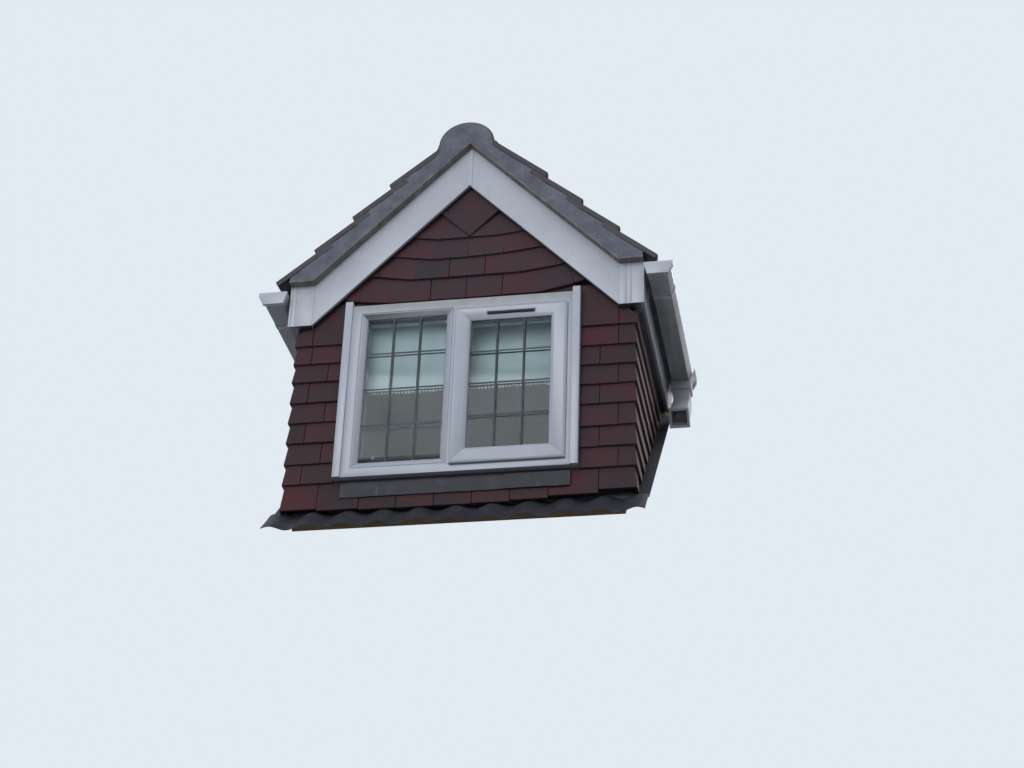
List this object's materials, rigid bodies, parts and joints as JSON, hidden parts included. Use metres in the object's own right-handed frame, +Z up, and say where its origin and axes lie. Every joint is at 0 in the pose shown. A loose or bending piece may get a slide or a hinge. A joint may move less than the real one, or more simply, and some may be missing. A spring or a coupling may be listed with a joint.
{
  "type": "gabled dormer window",
  "caption": "Small gabled dormer with a pitched tiled roof, tile-hung walls and a casement window, made to sit on a sloping main roof.",
  "frame": {"origin": "on the sloping underside of the front sole timber, the face that rests on the main rafters, at the middle of the front wall", "axes": "+X to the right seen from the front, +Y into the roof along the dormer's ridge, +Z up; the main roof rises at 45 degrees towards +Y"},
  "size_m": [1.924, 2.2058, 2.1475],
  "materials": {
    "timber": "sawn",
    "white_upvc": "satin",
    "roof_tile": "matt, weathered concrete",
    "hung_tile": "matt, weathered clay",
    "lead": "dull grey sheet lead",
    "mortar": "rough",
    "undercloak": "matt fibre cement",
    "plaster": "smooth plasterboard",
    "stud_wall": "sheathed stud wall",
    "glass": "clear sealed unit",
    "blind": "woven",
    "fascia": "satin, weathered"
  },
  "bodies": {
    "root": {"front_sole_timber": "timber", "side_sole_timbers": "timber", "valley_boards": "timber", "opening_header": "timber", "header_lining": "plaster", "front_wall": "stud_wall", "cheek_walls": "stud_wall", "front_lining": "plaster", "cheek_linings": "plaster", "ceiling_lining": "plaster", "ceiling_ties": "timber", "rafters": "timber", "ridge_board": "timber", "roof_boards": "timber", "roof_battens": "timber", "roof_tiles_left": "roof_tile", "roof_tiles_right": "roof_tile", "ridge_tiles": "roof_tile", "verge_mortar": "mortar", "undercloak": "undercloak", "bargeboard_left": "fascia", "bargeboard_right": "fascia", "box_ends": "fascia", "verge_soffit": "fascia", "eaves_soffits": "fascia", "fascias": "fascia", "gutters": "white_upvc", "gutter_stop_ends": "white_upvc", "gutter_straps": "white_upvc", "downpipes": "white_upvc", "valley_lead": "lead", "front_tile_hanging": "hung_tile", "cheek_tiles": "hung_tile", "cheek_soakers": "lead", "foot_apron": "lead", "window_apron": "lead", "window_frame": "white_upvc", "glazing_bead": "white_upvc", "window_sash": "white_upvc", "fixed_glass": "glass", "sash_glass": "glass", "trickle_vent": "white_upvc", "window_trims": "white_upvc", "window_board": "white_upvc", "blind": "blind"}
  },
  "joints": []
}
